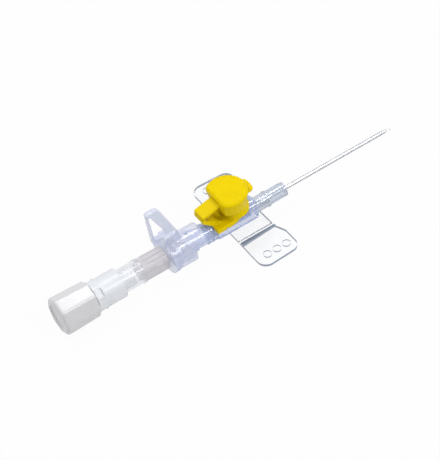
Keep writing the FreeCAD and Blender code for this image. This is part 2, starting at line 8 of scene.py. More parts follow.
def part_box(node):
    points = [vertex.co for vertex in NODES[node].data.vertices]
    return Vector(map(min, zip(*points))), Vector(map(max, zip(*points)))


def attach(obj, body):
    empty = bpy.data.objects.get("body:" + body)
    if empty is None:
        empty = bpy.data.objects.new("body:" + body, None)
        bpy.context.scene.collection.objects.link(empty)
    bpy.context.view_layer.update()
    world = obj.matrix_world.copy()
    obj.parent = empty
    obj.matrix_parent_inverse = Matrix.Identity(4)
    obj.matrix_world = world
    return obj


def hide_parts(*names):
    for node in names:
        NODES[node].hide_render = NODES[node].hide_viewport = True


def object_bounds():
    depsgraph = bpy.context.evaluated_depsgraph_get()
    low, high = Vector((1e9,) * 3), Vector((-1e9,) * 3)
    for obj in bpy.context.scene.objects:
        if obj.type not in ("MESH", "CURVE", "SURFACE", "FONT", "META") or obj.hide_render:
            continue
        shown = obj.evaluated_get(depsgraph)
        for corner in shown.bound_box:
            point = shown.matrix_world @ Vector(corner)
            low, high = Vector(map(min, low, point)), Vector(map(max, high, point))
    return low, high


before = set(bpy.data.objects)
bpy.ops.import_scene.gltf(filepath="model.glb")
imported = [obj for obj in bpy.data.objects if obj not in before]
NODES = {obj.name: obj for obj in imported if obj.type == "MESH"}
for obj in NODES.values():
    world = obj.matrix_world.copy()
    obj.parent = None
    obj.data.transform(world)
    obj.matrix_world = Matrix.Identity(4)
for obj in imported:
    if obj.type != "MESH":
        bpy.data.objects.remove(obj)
cad_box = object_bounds()

bl_info = {
    "name": "Cannula Finish",
    "version": (1, 0, 0),
    "blender": (4, 5, 0),
    "location": "View3D > Sidebar > Cannula",
    "description": "Plastics, steel, small fittings and a studio stage for an intravenous cannula",
    "category": "Object",
}

WHITE = (1.0, 1.0, 1.0, 1.0)

# Corners of a mesh that lie nearer than this, in metres, become one
JOIN_DISTANCE = 1e-7

# Places on the part in metres: where the thin nose starts, and the height of the ridges on the wings, above
# which they get painted shade
NOSE_FROM_X = -0.0088
RIDGE_FROM_Z = -0.00195

# Clear plastic: depth of its relief, the share of its body that shadow and scattered rays pass through, the
# body's share in the flat panels, and how much of the body is left in the thin nose
CLEAR_RELIEF = 0.000001
LIGHT_PASS = 0.8
FLAT_SHARE = 0.05
NOSE_SHARE = 0.95

# Depth of the drawn lines on steel
STEEL_RELIEF = 0.0000006

# Middle span of a noise, over which roughness and tint change
NOISE_SPAN = (0.3, 0.7)

# Painted crevice shade: span of openness over which the colour is darkened to stand for shade, and its share
# in the depth
CREVICE_SHADE_SPAN = (0.2, 0.8)
CREVICE_SHADE_SHARE = 0.22

# Segments of the round beads: across a bead, round the plug, and in one turn of the thread
BEAD_SIDES = 12
RING_SIDES = 96
THREAD_STEPS = 64

# Sky seen in reflections: span of height over which it brightens, and its strength below and above
SKY_SPAN = (0.05, 0.6)
SKY_STRENGTH = (0.35, 1.15)

# Lamps: name, place, width, share of the key lamp's power, and whether they light matt surfaces too
LAMPS = (
    ("key", (-0.10, 0.22, 0.50), 0.12, 1.0, True),
    ("side", (0.45, -0.25, 0.30), 0.20, 0.3, True),
    ("gleam", (0.15, 0.12, 0.50), 0.12, 0.9, False),
    ("front", (0.13, -0.32, 0.41), 0.14, 0.8, True),
)
LAMP_TARGET = (-0.015, 0.0, 0.0)

# Camera: its place, the directions to its right and ahead, and its focal length in pixels of the picture
CAMERA_PLACE = (-0.17298, -0.28750, 0.36531)
CAMERA_RIGHT = (0.8250, -0.5577, -0.0915)
CAMERA_AHEAD = (0.3130, 0.5857, -0.7477)
FOCAL_PIXELS = 2000.0
PICTURE_PIXELS = 440
SENSOR_WIDTH = 36.0


# Settings

def colour_prop(name, description, default):
    """Colour property with a name and a description."""
    return bpy.props.FloatVectorProperty(
        name=name, description=description, default=default, size=3, subtype="COLOR", min=0.0, max=1.0)


def length_prop(name, description, default):
    """Length property in metres."""
    return bpy.props.FloatProperty(
        name=name, description=description, default=default, min=0.0, unit="LENGTH", precision=5)


def share_prop(name, description, default):
    """Plain share between nought and one."""
    return bpy.props.FloatProperty(
        name=name, description=description, default=default, min=0.0, max=1.0, subtype="FACTOR")


def count_prop(name, description, default, most):
    """Whole number from one to a highest value."""
    return bpy.props.IntProperty(name=name, description=description, default=default, min=1, max=most)


class CannulaPlastics(bpy.types.PropertyGroup):
    """Colours of the moulded and the steel pieces."""
    hub: colour_prop("Hub", "Blue tint of the clear hub", (0.42, 0.51, 0.81))
    nose: colour_prop("Nose", "Greyer tint of the thin hub nose", (0.50, 0.56, 0.69))
    guard: colour_prop("Guard", "Tint of the clear needle guard", (0.69, 0.72, 0.92))
    # The guard side and wing wall colours are painted shade: darker tints for upright faces
    guard_side_shade: colour_prop("Guard side shade", "Deeper tint of the guard's upright faces", (0.56, 0.61, 0.80))
    wing: colour_prop("Wings", "Tint of the clear wings and the panels beside the hub", (0.80, 0.87, 0.97))
    wall_shade: colour_prop("Wing wall shade", "Painted wall shade of the wings and the panels", (0.24, 0.29, 0.40))
    tube: colour_prop("Tube", "Tint of the soft tube", (0.38, 0.40, 0.46))
    grip: colour_prop("Grip", "Frosted needle hub", (0.62, 0.60, 0.64))
    chamber: colour_prop("Chamber", "Clear flash chamber", (0.78, 0.80, 0.87))
    plug: colour_prop("Plug", "Translucent vent plug", (0.80, 0.82, 0.86))
    valve: colour_prop("Valve", "Silicone valve sleeve", (0.55, 0.62, 0.76))
    filter: colour_prop("Filter", "Porous filter disc", (0.88, 0.88, 0.85))
    yellow: colour_prop("Yellow", "Port cap and its ring", (0.83, 0.62, 0.0))
    white: colour_prop("White", "Rear cap", (0.68, 0.68, 0.70))
    needle: colour_prop("Needle", "Drawn steel of the needle", (0.8, 0.81, 0.83))
    ferrule: colour_prop("Ferrule", "Steel ring behind the tube", (0.62, 0.63, 0.65))
    clip: colour_prop("Clip", "Steel spring clip in the guard", (0.6, 0.61, 0.63))


class CannulaSizes(bpy.types.PropertyGroup):
    """Sizes of the fittings that the scene adds or softens."""
    soft_step: length_prop("Softening step", "Grid on which the caps' moulded edges are rounded", 0.00012)
    guard_step: length_prop("Guard step", "Grid on which the guard's moulded edges are rounded", 0.0001)
    soft_passes: count_prop("Softening passes", "Smoothing passes over the ring and the guard", 6, 30)
    port_cap_passes: count_prop("Port cap passes", "Smoothing passes over the yellow cap", 16, 30)
    rear_cap_passes: count_prop("Rear cap passes", "Smoothing passes over the white cap", 26, 30)
    tab_round_from: length_prop("Tab rounding from", "Height above which the finger tab is rounded", 0.0164)
    tab_blend: length_prop("Tab blend", "Depth below that height in which the rounding fades in", 0.002)
    tab_top_share: share_prop("Tab top", "Share of the tab's top that is kept", 0.55)
    tab_passes: count_prop("Tab passes", "Smoothing passes over the top of the tab", 30, 80)
    rib_count: count_prop("Plug ribs", "Beads round the plug inside the clear chamber", 4, 8)
    rib_pitch: length_prop("Rib pitch", "Step between the plug's beads", 0.00075)
    rib_setback: length_prop("Rib setback", "From the plug's front face to the nearest bead", 0.0004)
    rib_radius: length_prop("Rib radius", "Radius at which the beads run round the plug", 0.00238)
    rib_thickness: length_prop("Rib thickness", "Radius of a bead on the plug", 0.00011)
    thread_turns: bpy.props.FloatProperty(
        name="Thread turns", description="Turns of the thread in the rear cap", default=1.8, min=0.5, max=5.0)
    thread_from: length_prop("Thread from", "From the rear cap's closed end to its thread", 0.0034)
    thread_margin: length_prop("Thread margin", "From the thread to the rear cap's open end", 0.001)
    thread_radius: length_prop("Thread radius", "Radius at which the thread runs in the rear cap", 0.00407)
    thread_thickness: length_prop("Thread thickness", "Radius of the thread's bead", 0.00012)


class CannulaStage(bpy.types.PropertyGroup):
    """Light and ground."""
    key_power: bpy.props.FloatProperty(
        name="Key lamp", description="Power of the lamp above, to which the others keep their share",
        default=1.0, min=0.0, unit="POWER")
    fill: share_prop("Sky", "Strength of the even light from all sides", 0.58)
    floor: colour_prop("Floor", "Pale ground", (0.65, 0.65, 0.65))
    floor_white: share_prop("White floor", "How far the ground is plain white to the eye", 0.96)
    floor_half: length_prop("Floor half width", "Half the width of the ground", 3.0)


# Node helpers

def add_node(tree, kind, inputs=None, **settings):
    """New node with its settings and unlinked input values."""
    made = tree.nodes.new(kind)
    for key, value in settings.items():
        setattr(made, key, value)
    for key, value in (inputs or {}).items():
        made.inputs[key].default_value = value
    return made


def feed(tree, slot, value):
    """Link a socket into an input, or set the input to a plain value."""
    if isinstance(value, bpy.types.NodeSocket):
        tree.links.new(value, slot)
    else:
        slot.default_value = value


def maths(tree, operation, *terms):
    """Result of one step of arithmetic on sockets or plain numbers."""
    node = add_node(tree, "ShaderNodeMath", operation=operation)
    for slot, term in zip(node.inputs, terms):
        feed(tree, slot, term)
    return node.outputs[0]


def ramp(tree, value, start, end, low, high, interpolation="LINEAR"):
    """Value taken from the span start to end onto low to high."""
    node = add_node(tree, "ShaderNodeMapRange", interpolation_type=interpolation)
    for slot, term in zip(node.inputs, (value, start, end, low, high)):
        feed(tree, slot, term)
    return node.outputs["Result"]


def blend(tree, factor, first, second):
    """Mix of two values, each a socket or a plain number."""
    mix = add_node(tree, "ShaderNodeMix", data_type="FLOAT")
    feed(tree, mix.inputs["Factor"], factor)
    feed(tree, mix.inputs[2], first)
    feed(tree, mix.inputs[3], second)
    return mix.outputs[0]


def blend_colour(tree, factor, first, second):
    """Mix of a colour socket and a plain colour."""
    mix = add_node(tree, "ShaderNodeMix", {7: (*second, 1.0)}, data_type="RGBA")
    tree.links.new(factor, mix.inputs["Factor"])
    tree.links.new(first, mix.inputs[6])
    return mix.outputs[2]


def scaled(tree, colour, share):
    """Colour socket multiplied by a share."""
    node = add_node(tree, "ShaderNodeVectorMath", operation="SCALE")
    tree.links.new(colour, node.inputs["Vector"])
    tree.links.new(share, node.inputs["Scale"])
    return node.outputs["Vector"]


def part_place(tree, output="Object"):
    """Place on the piece, or another of the coordinates where one is named."""
    return add_node(tree, "ShaderNodeTexCoord").outputs[output]


def noise(tree, place, scale, detail, distortion=0.0):
    """Noise at a place, with its scale from a socket."""
    node = add_node(tree, "ShaderNodeTexNoise", {"Detail": detail, "Distortion": distortion})
    tree.links.new(place, node.inputs["Vector"])
    tree.links.new(scale, node.inputs["Scale"])
    return node.outputs["Fac"]


# Shader groups

def new_group(name, inputs, outputs):
    """Empty shader group with (name, socket kind, default) inputs and (name, kind) outputs."""
    tree = bpy.data.node_groups.new(name, "ShaderNodeTree")
    for label, kind, default in inputs:
        socket = tree.interface.new_socket(name=label, in_out="INPUT", socket_type=kind)
        socket.default_value = default
    for label, kind in outputs:
        tree.interface.new_socket(name=label, in_out="OUTPUT", socket_type=kind)
    return tree, tree.nodes.new("NodeGroupInput"), tree.nodes.new("NodeGroupOutput")


def moulded_skin_group(name):
    """Slow flow marks and fine grain of a moulded surface."""
    tree, enter, leave = new_group(name, [
        ("Flow scale", "NodeSocketFloat", 400.0),
        ("Grain scale", "NodeSocketFloat", 2500.0),
        ("Grain share", "NodeSocketFloat", 0.3),
    ], [("Height", "NodeSocketFloat"), ("Mask", "NodeSocketFloat")])
    place = part_place(tree)
    flow = noise(tree, place, enter.outputs["Flow scale"], 2.0, 0.3)
    grain = noise(tree, place, enter.outputs["Grain scale"], 2.0)
    height = blend(tree, enter.outputs["Grain share"], flow, grain)
    tree.links.new(height, leave.inputs["Height"])
    tree.links.new(flow, leave.inputs["Mask"])
    return tree


def tint_drift_group(name):
    """Colour that drifts a little through a moulding."""
    tree, enter, leave = new_group(name, [
        ("Colour", "NodeSocketColor", WHITE),
        ("Depth", "NodeSocketFloat", 0.94),
        ("Scale", "NodeSocketFloat", 250.0),
    ], [("Colour", "NodeSocketColor")])
    drift = noise(tree, part_place(tree), enter.outputs["Scale"], 4.0, 0.6)
    level = ramp(tree, drift, *NOISE_SPAN, enter.outputs["Depth"], 1.0)
    tree.links.new(scaled(tree, enter.outputs["Colour"], level), leave.inputs["Colour"])
    return tree


def drawn_metal_group(name):
    """Fine lines that run along X on drawn metal."""
    tree, enter, leave = new_group(name, [
        ("Line scale", "NodeSocketFloat", 4000.0),
    ], [("Height", "NodeSocketFloat"), ("Mask", "NodeSocketFloat")])
    stretch = add_node(tree, "ShaderNodeMapping", {"Scale": (0.01, 1.0, 1.0)})
    tree.links.new(part_place(tree), stretch.inputs["Vector"])
    lines = noise(tree, stretch.outputs["Vector"], enter.outputs["Line scale"], 3.0)
    tree.links.new(lines, leave.inputs["Height"])
    tree.links.new(lines, leave.inputs["Mask"])
    return tree


def painted_wall_shade_group(name):
    """Mask of walls that stand upright, told from flat faces by the surface's own direction, where clear
    plastics get painted shade.
    """
    tree, enter, leave = new_group(name, [
        ("Start", "NodeSocketFloat", 0.75),
        ("Full", "NodeSocketFloat", 0.35),
    ], [("Mask", "NodeSocketFloat")])
    facing = add_node(tree, "ShaderNodeSeparateXYZ")
    tree.links.new(part_place(tree, "Normal"), facing.inputs[0])
    level = maths(tree, "ABSOLUTE", facing.outputs["Z"])
    mask = ramp(tree, level, enter.outputs["Start"], enter.outputs["Full"], 0.0, 1.0)
    tree.links.new(mask, leave.inputs["Mask"])
    return tree


def below_height_group(name):
    """Everything below a height of the part, or before a station along another direction."""
    tree, enter, leave = new_group(name, [
        ("Height", "NodeSocketFloat", -0.0023),
        ("Width", "NodeSocketFloat", 0.0001),
        ("Direction", "NodeSocketVector", (0.0, 0.0, 1.0)),
    ], [("Mask", "NodeSocketFloat")])
    station = add_node(tree, "ShaderNodeVectorMath", operation="DOT_PRODUCT")
    tree.links.new(part_place(tree), station.inputs[0])
    tree.links.new(enter.outputs["Direction"], station.inputs[1])
    end = maths(tree, "ADD", enter.outputs["Height"], enter.outputs["Width"])
    mask = ramp(tree, station.outputs["Value"], enter.outputs["Height"], end, 1.0, 0.0)
    tree.links.new(mask, leave.inputs["Mask"])
    return tree


GROUP_MAKERS = {
    "Moulded skin": moulded_skin_group,
    "Tint drift": tint_drift_group,
    "Drawn metal": drawn_metal_group,
    "Painted wall shade": painted_wall_shade_group,
    "Below height": below_height_group,
}
GROUPS = {}


def group_node(tree, name, inputs=None):
    """Instance of one of the shared groups, which is built on first use."""
    if name not in GROUPS:
        GROUPS[name] = GROUP_MAKERS[name](name)
    return add_node(tree, "ShaderNodeGroup", inputs, node_tree=GROUPS[name])


# Materials

def new_material(name):
    """Material with its node tree and its shader."""
    material = bpy.data.materials.new(name)
    material.use_nodes = True
    return material, material.node_tree, material.node_tree.nodes["Principled BSDF"]


def show(tree, shader):
    """Make a shader the surface of its material."""
    tree.links.new(shader, tree.nodes["Material Output"].inputs["Surface"])


def worked_surface(tree, group, roughness, bump):
    """Roughness between two values and faint relief from a group, as two sockets."""
    rough = ramp(tree, group.outputs["Mask"], *NOISE_SPAN, *roughness)
    relief = add_node(tree, "ShaderNodeBump", {"Strength": 1.0, "Distance": bump})
    tree.links.new(group.outputs["Height"], relief.inputs["Height"])
    bsdf = tree.nodes["Principled BSDF"]
    tree.links.new(rough, bsdf.inputs["Roughness"])
    tree.links.new(relief.outputs["Normal"], bsdf.inputs["Normal"])
    return rough, relief.outputs["Normal"]


def moulded_tint(tree, colour, drift):
    """Colour of a moulding that drifts a little, as a socket."""
    return group_node(tree, "Tint drift", {"Colour": (*colour, 1.0), "Depth": drift}).outputs["Colour"]


def painted_crevice_shade(tree, colour, reach):
    """Colour darkened as painted shade where other faces stand within reach."""
    hollow = add_node(tree, "ShaderNodeAmbientOcclusion", {"Distance": reach})
    return scaled(tree, colour, ramp(tree, hollow.outputs["AO"], *CREVICE_SHADE_SPAN, CREVICE_SHADE_SHARE, 1.0))


def plastic(name, colour, roughness, bump=0.00001, drift=0.94, shine=0.5, crevice_shade_reach=None):
    """Opaque moulded plastic: drifting tint, roughness between two values, faint relief, and painted shade in
    crevices where a reach is given.
    """
    material, tree, bsdf = new_material(name)
    bsdf.inputs["Specular IOR Level"].default_value = shine
    tint = moulded_tint(tree, colour, drift)
    if crevice_shade_reach:
        tint = painted_crevice_shade(tree, tint, crevice_shade_reach)
    tree.links.new(tint, bsdf.inputs["Base Color"])
    worked_surface(tree, group_node(tree, "Moulded skin"), roughness, bump)
    return material


def steel(name, colour, roughness):
    """Drawn stainless steel."""
    material, tree, bsdf = new_material(name)
    bsdf.inputs["Base Color"].default_value = (*colour, 1.0)
    bsdf.inputs["Metallic"].default_value = 1.0
    worked_surface(tree, group_node(tree, "Drawn metal"), roughness, STEEL_RELIEF)
    return material


def clear(name, colour, face, edge, roughness=(0.08, 0.16), gloss=1.35, wall_shade=None, wall_shade_share=0.8,
          flat=None, nose=None, ridge_shade_from=None):
    """See-through plastic: a thin milky body that thickens towards its outlines, under a polished skin.

    face and edge are the body's share seen straight on and at the outline. wall is a darker tint painted on
    upright walls as shade, flat that of the low flat panels and nose that of the thin nose. Above the height
    ridge, this painted wall shade holds too.
    """
    material, tree, body = new_material(name)
    body.inputs["Specular IOR Level"].default_value = 0.0
    tint = moulded_tint(tree, colour, 0.95)
    rough, normal = worked_surface(tree, group_node(tree, "Moulded skin"), roughness, CLEAR_RELIEF)
    slope = add_node(tree, "ShaderNodeLayerWeight", {"Blend": 0.35}).outputs["Facing"]
    share = ramp(tree, slope, 0.0, 1.0, face, edge, "SMOOTHSTEP")
    if flat:
        low = group_node(tree, "Below height").outputs["Mask"]
        tint = blend_colour(tree, low, tint, flat)
        share = blend(tree, low, share, FLAT_SHARE)
    if nose:
        ahead = group_node(tree, "Below height", {"Height": -NOSE_FROM_X, "Direction": (-1.0, 0.0, 0.0)})
        tint = blend_colour(tree, ahead.outputs["Mask"], tint, nose)
        share = blend(tree, ahead.outputs["Mask"], share, maths(tree, "MULTIPLY", share, NOSE_SHARE))
    # Painted shade: upright walls take a darker tint and a thicker body
    if wall_shade:
        wall_shade_mask = group_node(tree, "Painted wall shade").outputs["Mask"]
        if flat:
            wall_shade_mask = maths(tree, "MULTIPLY", wall_shade_mask, low)
        tint = blend_colour(tree, wall_shade_mask, tint, wall_shade)
        share = blend(tree, wall_shade_mask, share, wall_shade_share)
    # Painted shade: above the ridge height the walls' darker tint holds too
    if ridge_shade_from:
        below = group_node(tree, "Below height", {"Height": ridge_shade_from}).outputs["Mask"]
        above = maths(tree, "SUBTRACT", 1.0, below)
        tint = blend_colour(tree, above, tint, wall_shade)
        share = blend(tree, above, share, wall_shade_share)

    path = add_node(tree, "ShaderNodeLightPath")
    unseen = maths(tree, "MAXIMUM", path.outputs["Is Shadow Ray"], path.outputs["Is Diffuse Ray"])
    looked_at = maths(tree, "MULTIPLY_ADD", unseen, -LIGHT_PASS, 1.0)
    tree.links.new(tint, body.inputs["Base Color"])
    tree.links.new(maths(tree, "MULTIPLY", looked_at, share), body.inputs["Alpha"])

    skin = add_node(tree, "ShaderNodeBsdfGlossy", {"Color": WHITE})
    tree.links.new(rough, skin.inputs["Roughness"])
    tree.links.new(normal, skin.inputs["Normal"])
    shine = add_node(tree, "ShaderNodeFresnel", {"IOR": gloss}).outputs[0]
    outside = maths(tree, "SUBTRACT", 1.0, add_node(tree, "ShaderNodeNewGeometry").outputs["Backfacing"])
    polished = add_node(tree, "ShaderNodeMixShader")
    gleam = maths(tree, "MULTIPLY", maths(tree, "MULTIPLY", shine, looked_at), outside)
    tree.links.new(gleam, polished.inputs["Fac"])
    tree.links.new(body.outputs[0], polished.inputs[1])
    tree.links.new(skin.outputs[0], polished.inputs[2])
    show(tree, polished.outputs[0])
    return material


def dress(node_name, material):
    """Give a CAD node its material."""
    slots = NODES[node_name].data.materials
    slots.clear()
    slots.append(material)


# Softened pieces

def settle(context, obj):
    """Turn what an object's modifiers make into its own plain mesh."""
    context.view_layer.update()
    mesh = bpy.data.meshes.new_from_object(obj.evaluated_get(context.evaluated_depsgraph_get()))
    if not mesh.polygons:
        raise RuntimeError(obj.name + " came out empty")
    obj.modifiers.clear()
    obj.data = mesh
    return mesh


def soften(context, node_name, material, body, step, passes):
    """Copy of a CAD piece with rounded moulded edges, shown in its place."""
    obj = bpy.data.objects.new(node_name + "_soft", NODES[node_name].data.copy())
    context.scene.collection.objects.link(obj)
    join = obj.modifiers.new("join", "WELD")
    join.merge_threshold = JOIN_DISTANCE
    grid = obj.modifiers.new("grid", "REMESH")
    grid.mode = "VOXEL"
    grid.voxel_size = step
    ease = obj.modifiers.new("ease", "SMOOTH")
    ease.factor = 0.5
    ease.iterations = passes
    mesh = settle(context, obj)
    mesh.shade_smooth()
    mesh.materials.clear()
    mesh.materials.append(material)
    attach(obj, body)
    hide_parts(node_name)
    return obj


def round_tab(obj, sizes):
    """Lower the top of the guard's finger tab and ease it into a round."""
    start = sizes.tab_round_from
    work = bmesh.new()
    work.from_mesh(obj.data)
    for vertex in work.verts:
        if vertex.co.z > start:
            vertex.co.z = start + (vertex.co.z - start) * sizes.tab_top_share
    top = [vertex for vertex in work.verts if vertex.co.z > start - sizes.tab_blend]
    for _ in range(sizes.tab_passes):
        bmesh.ops.smooth_vert(work, verts=top, factor=0.5, use_axis_x=True, use_axis_y=True, use_axis_z=True)
    work.to_mesh(obj.data)
    work.free()


# Beads

def geometry_tree(name, numbers):
    """Empty geometry tree with named (name, socket kind) inputs and a material input."""
    tree = bpy.data.node_groups.new(name, "GeometryNodeTree")
    for label, kind in numbers + (("Material", "NodeSocketMaterial"),):
        tree.interface.new_socket(name=label, in_out="INPUT", socket_type=kind)
    tree.interface.new_socket(name="Geometry", in_out="OUTPUT", socket_type="NodeSocketGeometry")
    return tree, tree.nodes.new("NodeGroupInput"), tree.nodes.new("NodeGroupOutput")


def end_tree(tree, enter, leave, shape):
    """Realise, shade and dress the shape and send it out."""
    real = add_node(tree, "GeometryNodeRealizeInstances")
    smooth = add_node(tree, "GeometryNodeSetShadeSmooth")
    dressed = add_node(tree, "GeometryNodeSetMaterial")
    tree.links.new(shape, real.inputs["Geometry"])
    tree.links.new(real.outputs["Geometry"], smooth.inputs["Geometry"])
    tree.links.new(smooth.outputs["Geometry"], dressed.inputs["Geometry"])
    tree.links.new(enter.outputs["Material"], dressed.inputs["Material"])
    tree.links.new(dressed.outputs["Geometry"], leave.inputs["Geometry"])


def bead_about_x(tree, enter, path):
    """Round bead along a path that lies about Z, turned so that it runs about X."""
    profile = add_node(tree, "GeometryNodeCurvePrimitiveCircle", {"Resolution": BEAD_SIDES})
    sweep = add_node(tree, "GeometryNodeCurveToMesh", {"Fill Caps": True})
    turn = add_node(tree, "GeometryNodeTransform", {"Rotation": (0.0, math.pi / 2, 0.0)})
    tree.links.new(enter.outputs["Thickness"], profile.inputs["Radius"])
    tree.links.new(path, sweep.inputs["Curve"])
    tree.links.new(profile.outputs["Curve"], sweep.inputs["Profile Curve"])
    tree.links.new(sweep.outputs["Mesh"], turn.inputs["Geometry"])
    return turn


def rings_tree():
    """Row of round beads about the X axis."""
    tree, enter, leave = geometry_tree("Bead row", (
        ("Start", "NodeSocketFloat"), ("Pitch", "NodeSocketFloat"), ("Count", "NodeSocketInt"),
        ("Radius", "NodeSocketFloat"), ("Thickness", "NodeSocketFloat")))
    first = add_node(tree, "ShaderNodeCombineXYZ")
    step = add_node(tree, "ShaderNodeCombineXYZ")
    line = add_node(tree, "GeometryNodeMeshLine")
    circle = add_node(tree, "GeometryNodeCurvePrimitiveCircle", {"Resolution": RING_SIDES})
    copies = add_node(tree, "GeometryNodeInstanceOnPoints")
    tree.links.new(enter.outputs["Start"], first.inputs["X"])
    tree.links.new(enter.outputs["Pitch"], step.inputs["X"])
    tree.links.new(enter.outputs["Count"], line.inputs["Count"])
    tree.links.new(first.outputs[0], line.inputs["Start Location"])
    tree.links.new(step.outputs[0], line.inputs["Offset"])
    tree.links.new(enter.outputs["Radius"], circle.inputs["Radius"])
    bead = bead_about_x(tree, enter, circle.outputs["Curve"])
    tree.links.new(line.outputs["Mesh"], copies.inputs["Points"])
    tree.links.new(bead.outputs["Geometry"], copies.inputs["Instance"])
    end_tree(tree, enter, leave, copies.outputs["Instances"])
    return tree


def thread_tree():
    """Round bead wound about the X axis."""
    tree, enter, leave = geometry_tree("Wound bead", (
        ("Start", "NodeSocketFloat"), ("Length", "NodeSocketFloat"), ("Turns", "NodeSocketFloat"),
        ("Radius", "NodeSocketFloat"), ("Thickness", "NodeSocketFloat")))
    place = add_node(tree, "ShaderNodeCombineXYZ")
    spiral = add_node(tree, "GeometryNodeCurveSpiral", {"Resolution": THREAD_STEPS})
    tree.links.new(enter.outputs["Start"], place.inputs["X"])
    tree.links.new(enter.outputs["Turns"], spiral.inputs["Rotations"])
    tree.links.new(enter.outputs["Radius"], spiral.inputs["Start Radius"])
    tree.links.new(enter.outputs["Radius"], spiral.inputs["End Radius"])
    tree.links.new(enter.outputs["Length"], spiral.inputs["Height"])
    bead = bead_about_x(tree, enter, spiral.outputs["Curve"])
    tree.links.new(place.outputs[0], bead.inputs["Translation"])
    end_tree(tree, enter, leave, bead.outputs["Geometry"])
    return tree


def grown(context, name, tree, values, body):
    """Plain mesh object made by a geometry tree, riding on a body."""
    obj = bpy.data.objects.new(name, bpy.data.meshes.new(name))
    context.scene.collection.objects.link(obj)
    grow = obj.modifiers.new("grow", "NODES")
    grow.node_group = tree
    for item in tree.interface.items_tree:
        if item.item_type == "SOCKET" and item.in_out == "INPUT":
            grow[item.identifier] = values[item.name]
    mesh = settle(context, obj)
    work = bmesh.new()
    work.from_mesh(mesh)
    bmesh.ops.remove_doubles(work, verts=work.verts, dist=JOIN_DISTANCE)
    bmesh.ops.recalc_face_normals(work, faces=work.faces)
    work.to_mesh(mesh)
    work.free()
    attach(obj, body)


# Steps of the finish

class CANNULA_OT_hub(bpy.types.Operator):
    """Clear blue hub with its silicone valve and the steel ferrule"""
    bl_idname = "cannula.hub"
    bl_label = "Hub"

    def execute(self, context):
        looks = context.scene.cannula_plastics
        # Upright walls of the hub's panels get painted shade
        hub = clear("Clear blue plastic", looks.hub, face=0.50, edge=0.94, gloss=1.49, wall_shade=looks.wall_shade,
                    flat=looks.wing, nose=looks.nose)
        dress("cannula_hub", hub)
        dress("port_valve", plastic("Silicone", looks.valve, roughness=(0.4, 0.5)))
        dress("catheter_ferrule", steel("Ferrule steel", looks.ferrule, roughness=(0.2, 0.35)))
        return {"FINISHED"}


class CANNULA_OT_tube(bpy.types.Operator):
    """Soft translucent tube and the steel needle inside it"""
    bl_idname = "cannula.tube"
    bl_label = "Tube and needle"

    def execute(self, context):
        looks = context.scene.cannula_plastics
        tube = clear("Soft tube", looks.tube, face=0.06, edge=1.0, roughness=(0.15, 0.25))
        dress("catheter_tube", tube)
        dress("needle", steel("Needle steel", looks.needle, roughness=(0.26, 0.3)))
        return {"FINISHED"}


class CANNULA_OT_port_cap(bpy.types.Operator):
    """Yellow port cap and the ring that carries it"""
    bl_idname = "cannula.port_cap"
    bl_label = "Port cap"

    def execute(self, context):
        looks = context.scene.cannula_plastics
        sizes = context.scene.cannula_sizes
        # The yellow is darkened in its crevices: painted shade
        yellow = plastic("Yellow plastic", looks.yellow, roughness=(0.3, 0.42), bump=0.0000015, shine=0.05,
                         crevice_shade_reach=0.003)
        soften(context, "port_cap", yellow, "port_cap", sizes.soft_step, sizes.port_cap_passes)
        soften(context, "port_cap_ring", yellow, "cannula", sizes.soft_step, sizes.soft_passes)
        return {"FINISHED"}


class CANNULA_OT_wings(bpy.types.Operator):
    """Clear folding wings"""
    bl_idname = "cannula.wings"
    bl_label = "Wings"

    def execute(self, context):
        looks = context.scene.cannula_plastics
        # Upright walls and ridges of the wings get painted shade
        wing = clear("Clear wing plastic", looks.wing, face=0.07, edge=0.4, wall_shade=looks.wall_shade,
                     wall_shade_share=0.88, ridge_shade_from=RIDGE_FROM_Z)
        for node_name in ("wing_left", "wing_right"):
            dress(node_name, wing)
        return {"FINISHED"}


class CANNULA_OT_guard(bpy.types.Operator):
    """Clear needle guard with its spring clip"""
    bl_idname = "cannula.guard"
    bl_label = "Needle guard"

    def execute(self, context):
        looks = context.scene.cannula_plastics
        sizes = context.scene.cannula_sizes
        # Upright faces of the guard get painted shade
        guard = clear("Clear guard plastic", looks.guard, face=0.34, edge=0.7, wall_shade=looks.guard_side_shade,
                      wall_shade_share=0.5)
        shell = soften(context, "safety_housing", guard, "needle_guard", sizes.guard_step,
                       sizes.soft_passes)
        round_tab(shell, sizes)
        dress("safety_clip", steel("Clip steel", looks.clip, roughness=(0.15, 0.3)))
        return {"FINISHED"}


class CANNULA_OT_needle_unit(bpy.types.Operator):
    """Frosted grip, clear flash chamber, vent plug and filter"""
    bl_idname = "cannula.needle_unit"
    bl_label = "Grip, chamber and plug"

    def execute(self, context):
        looks = context.scene.cannula_plastics
        sizes = context.scene.cannula_sizes
        grip = clear("Frosted plastic", looks.grip, face=0.65, edge=0.9, roughness=(0.3, 0.45))
        chamber = clear("Clear chamber plastic", looks.chamber, face=0.18, edge=0.6)
        plug = clear("Translucent plug plastic", looks.plug, face=0.85, edge=0.95, roughness=(0.2, 0.3))
        dress("needle_hub", grip)
        dress("flash_chamber", chamber)
        dress("vent_plug", plug)
        dress("vent_filter", plastic("Porous filter", looks.filter, roughness=(0.8, 0.95)))
        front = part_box("vent_plug")[1].x
        row = sizes.rib_pitch * (sizes.rib_count - 1)
        grown(context, "plug_ribs", rings_tree(), {
            "Start": front - row - sizes.rib_setback, "Pitch": sizes.rib_pitch, "Count": sizes.rib_count,
            "Radius": sizes.rib_radius, "Thickness": sizes.rib_thickness, "Material": plug,
        }, "needle_unit")
        return {"FINISHED"}


